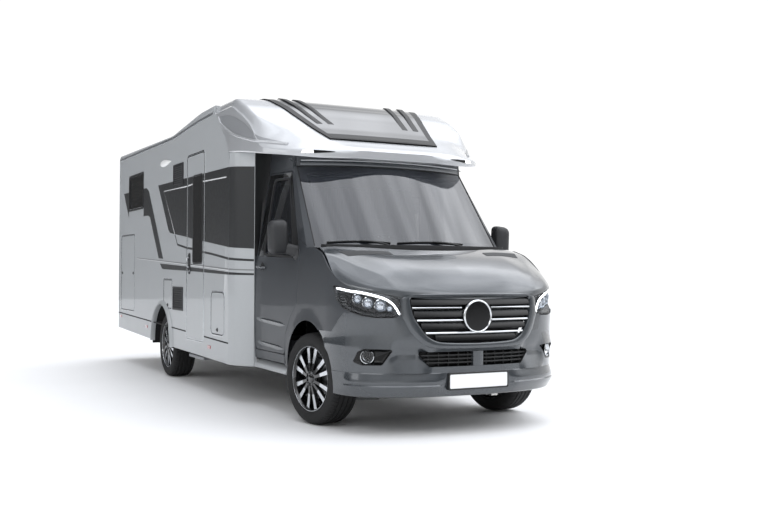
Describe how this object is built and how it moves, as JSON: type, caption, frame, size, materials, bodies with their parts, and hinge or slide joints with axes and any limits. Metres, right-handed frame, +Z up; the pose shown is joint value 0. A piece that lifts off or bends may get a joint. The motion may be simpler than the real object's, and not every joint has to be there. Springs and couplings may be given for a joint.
{
  "type": "motorhome",
  "caption": "Semi-integrated motorhome on a van cab with overcab roof cap, hinged doors and hatches, steered front wheels and free-rolling wheels.",
  "frame": {"origin": "on the ground at the middle of the bounding box", "axes": "+X forward along the vehicle, +Y to its left, +Z up"},
  "size_m": [7.4, 2.3954, 2.8878],
  "materials": {
    "body_silver": "silver metallic coat on aluminium and GRP sandwich panels",
    "cab_grey": "slate grey metallic cab paint",
    "cap_silver": "light silver metallic coat on a moulded cap",
    "black_plastic": "grained black plastic",
    "gloss_black": "gloss black plastic",
    "chassis_steel": "black chassis coating on steel",
    "cast": "cast iron hubs",
    "rubber_tyre": "tyre rubber",
    "alloy": "black painted alloy with machined blades",
    "tinted_glass": "tinted glass",
    "lamp_glass": "clear lamp covers",
    "cab_trim": "dark dashboard plastic",
    "upholstery": "woven seat cover",
    "floor_board": "sandwich floor with wood core"
  },
  "bodies": {
    "body": {"chassis_frame": "chassis_steel", "front_axle": "chassis_steel", "rear_axle": "chassis_steel", "engine": "cast", "tanks": "black_plastic", "floor": "floor_board", "side_wall_left": "body_silver", "side_wall_right": "body_silver", "rear_wall": "body_silver", "roof": "body_silver", "overcab": "cap_silver", "roof_windows": "tinted_glass", "skirts": "body_silver", "corner_panels": "body_silver", "side_windows": "tinted_glass", "side_vents": "gloss_black", "rear_bumper": "body_silver", "lamps": "lamp_glass", "cab_shell": "cab_grey", "windscreen": "tinted_glass", "scuttle": "black_plastic", "front_bumper": "cab_grey", "grille": "gloss_black", "fenders": "cab_grey", "dashboard": "cab_trim", "seats": "upholstery"},
    "steer_left": {"knuckle_left": "cast"},
    "steer_right": {"knuckle_right": "cast"},
    "wheel_front_left": {"rim_front_left": "alloy", "tyre_front_left": "rubber_tyre"},
    "wheel_front_right": {"rim_front_right": "alloy", "tyre_front_right": "rubber_tyre"},
    "wheel_rear_left": {"rim_rear_left": "alloy", "tyre_rear_left": "rubber_tyre"},
    "wheel_rear_right": {"rim_rear_right": "alloy", "tyre_rear_right": "rubber_tyre"},
    "cab_door_left": {"cab_door_left": "cab_grey", "door_glass_left": "tinted_glass", "mirror_left": "black_plastic"},
    "cab_door_right": {"cab_door_right": "cab_grey", "door_glass_right": "tinted_glass", "mirror_right": "black_plastic"},
    "entrance_door": {"entrance_door": "body_silver"},
    "garage_door_left": {"garage_door_left": "body_silver"},
    "garage_door_right": {"garage_door_right": "body_silver"},
    "gas_hatch": {"gas_hatch": "body_silver"},
    "service_flap": {"service_flap": "body_silver"},
    "bonnet": {"bonnet": "cab_grey"},
    "entrance_step": {"entrance_step": "black_plastic"},
    "steering_wheel": {"steering_wheel": "cab_trim"}
  },
  "joints": [
    {"name": "steer_left", "type": "hinge", "parent": "body", "child": "steer_left", "pos_m": [2.69, 0.8, 0.368], "axis": [0, 0, 1], "range_deg": [-45, 25]},
    {"name": "steer_right", "type": "hinge", "parent": "body", "child": "steer_right", "pos_m": [2.69, -0.8, 0.368], "axis": [0, 0, 1], "range_deg": [-45, 25]},
    {"name": "spin_front_left", "type": "hinge", "parent": "steer_left", "child": "wheel_front_left", "pos_m": [2.67819, 0.86697, 0.368], "axis": [-0.1736, 0.9848, 0], "continuous": true},
    {"name": "spin_front_right", "type": "hinge", "parent": "steer_right", "child": "wheel_front_right", "pos_m": [2.70181, -0.86697, 0.368], "axis": [-0.1736, 0.9848, 0], "continuous": true},
    {"name": "spin_rear_left", "type": "hinge", "parent": "body", "child": "wheel_rear_left", "pos_m": [-1.234, 0.973, 0.368], "axis": [0, 1, 0], "continuous": true},
    {"name": "spin_rear_right", "type": "hinge", "parent": "body", "child": "wheel_rear_right", "pos_m": [-1.234, -0.973, 0.368], "axis": [0, 1, 0], "continuous": true},
    {"name": "cab_door_left_hinge", "type": "hinge", "parent": "body", "child": "cab_door_left", "pos_m": [2.493, 1, 1], "axis": [0, 0, -1], "range_deg": [0, 68]},
    {"name": "cab_door_right_hinge", "type": "hinge", "parent": "body", "child": "cab_door_right", "pos_m": [2.493, -1, 1], "axis": [0, 0, 1], "range_deg": [0, 68]},
    {"name": "entrance_door_hinge", "type": "hinge", "parent": "body", "child": "entrance_door", "pos_m": [0.369, -1.152, 1], "axis": [0, 0, 1], "range_deg": [0, 90]},
    {"name": "garage_door_left_hinge", "type": "hinge", "parent": "body", "child": "garage_door_left", "pos_m": [-2.678, 1.152, 1.2], "axis": [0, 0, -1], "range_deg": [0, 100]},
    {"name": "garage_door_right_hinge", "type": "hinge", "parent": "body", "child": "garage_door_right", "pos_m": [-2.678, -1.152, 1.2], "axis": [0, 0, 1], "range_deg": [0, 100]},
    {"name": "gas_hatch_hinge", "type": "hinge", "parent": "body", "child": "gas_hatch", "pos_m": [0.825, -1.152, 1.022], "axis": [-1, 0, 0], "range_deg": [0, 90]},
    {"name": "service_flap_hinge", "type": "hinge", "parent": "body", "child": "service_flap", "pos_m": [-0.848, -1.152, 0.96], "axis": [0, 0, 1], "range_deg": [0, 100]},
    {"name": "bonnet_hinge", "type": "hinge", "parent": "body", "child": "bonnet", "pos_m": [2.7, 0, 1.43], "axis": [0, -1, 0], "range_deg": [0, 55]},
    {"name": "steering_wheel_turn", "type": "hinge", "parent": "body", "child": "steering_wheel", "pos_m": [2.08, 0.38, 1.18], "axis": [-0.866, 0, 0.5], "range_deg": [-640, 360]},
    {"name": "step_slide", "type": "slide", "parent": "body", "child": "entrance_step", "axis": [0, -1, 0], "range_m": [0, 0.25]}
  ],
  "couplings": [
    {"joint": "steer_right", "follows": "steer_left", "ratio": 1},
    {"joint": "steering_wheel_turn", "follows": "steer_left", "ratio": 14}
  ]
}
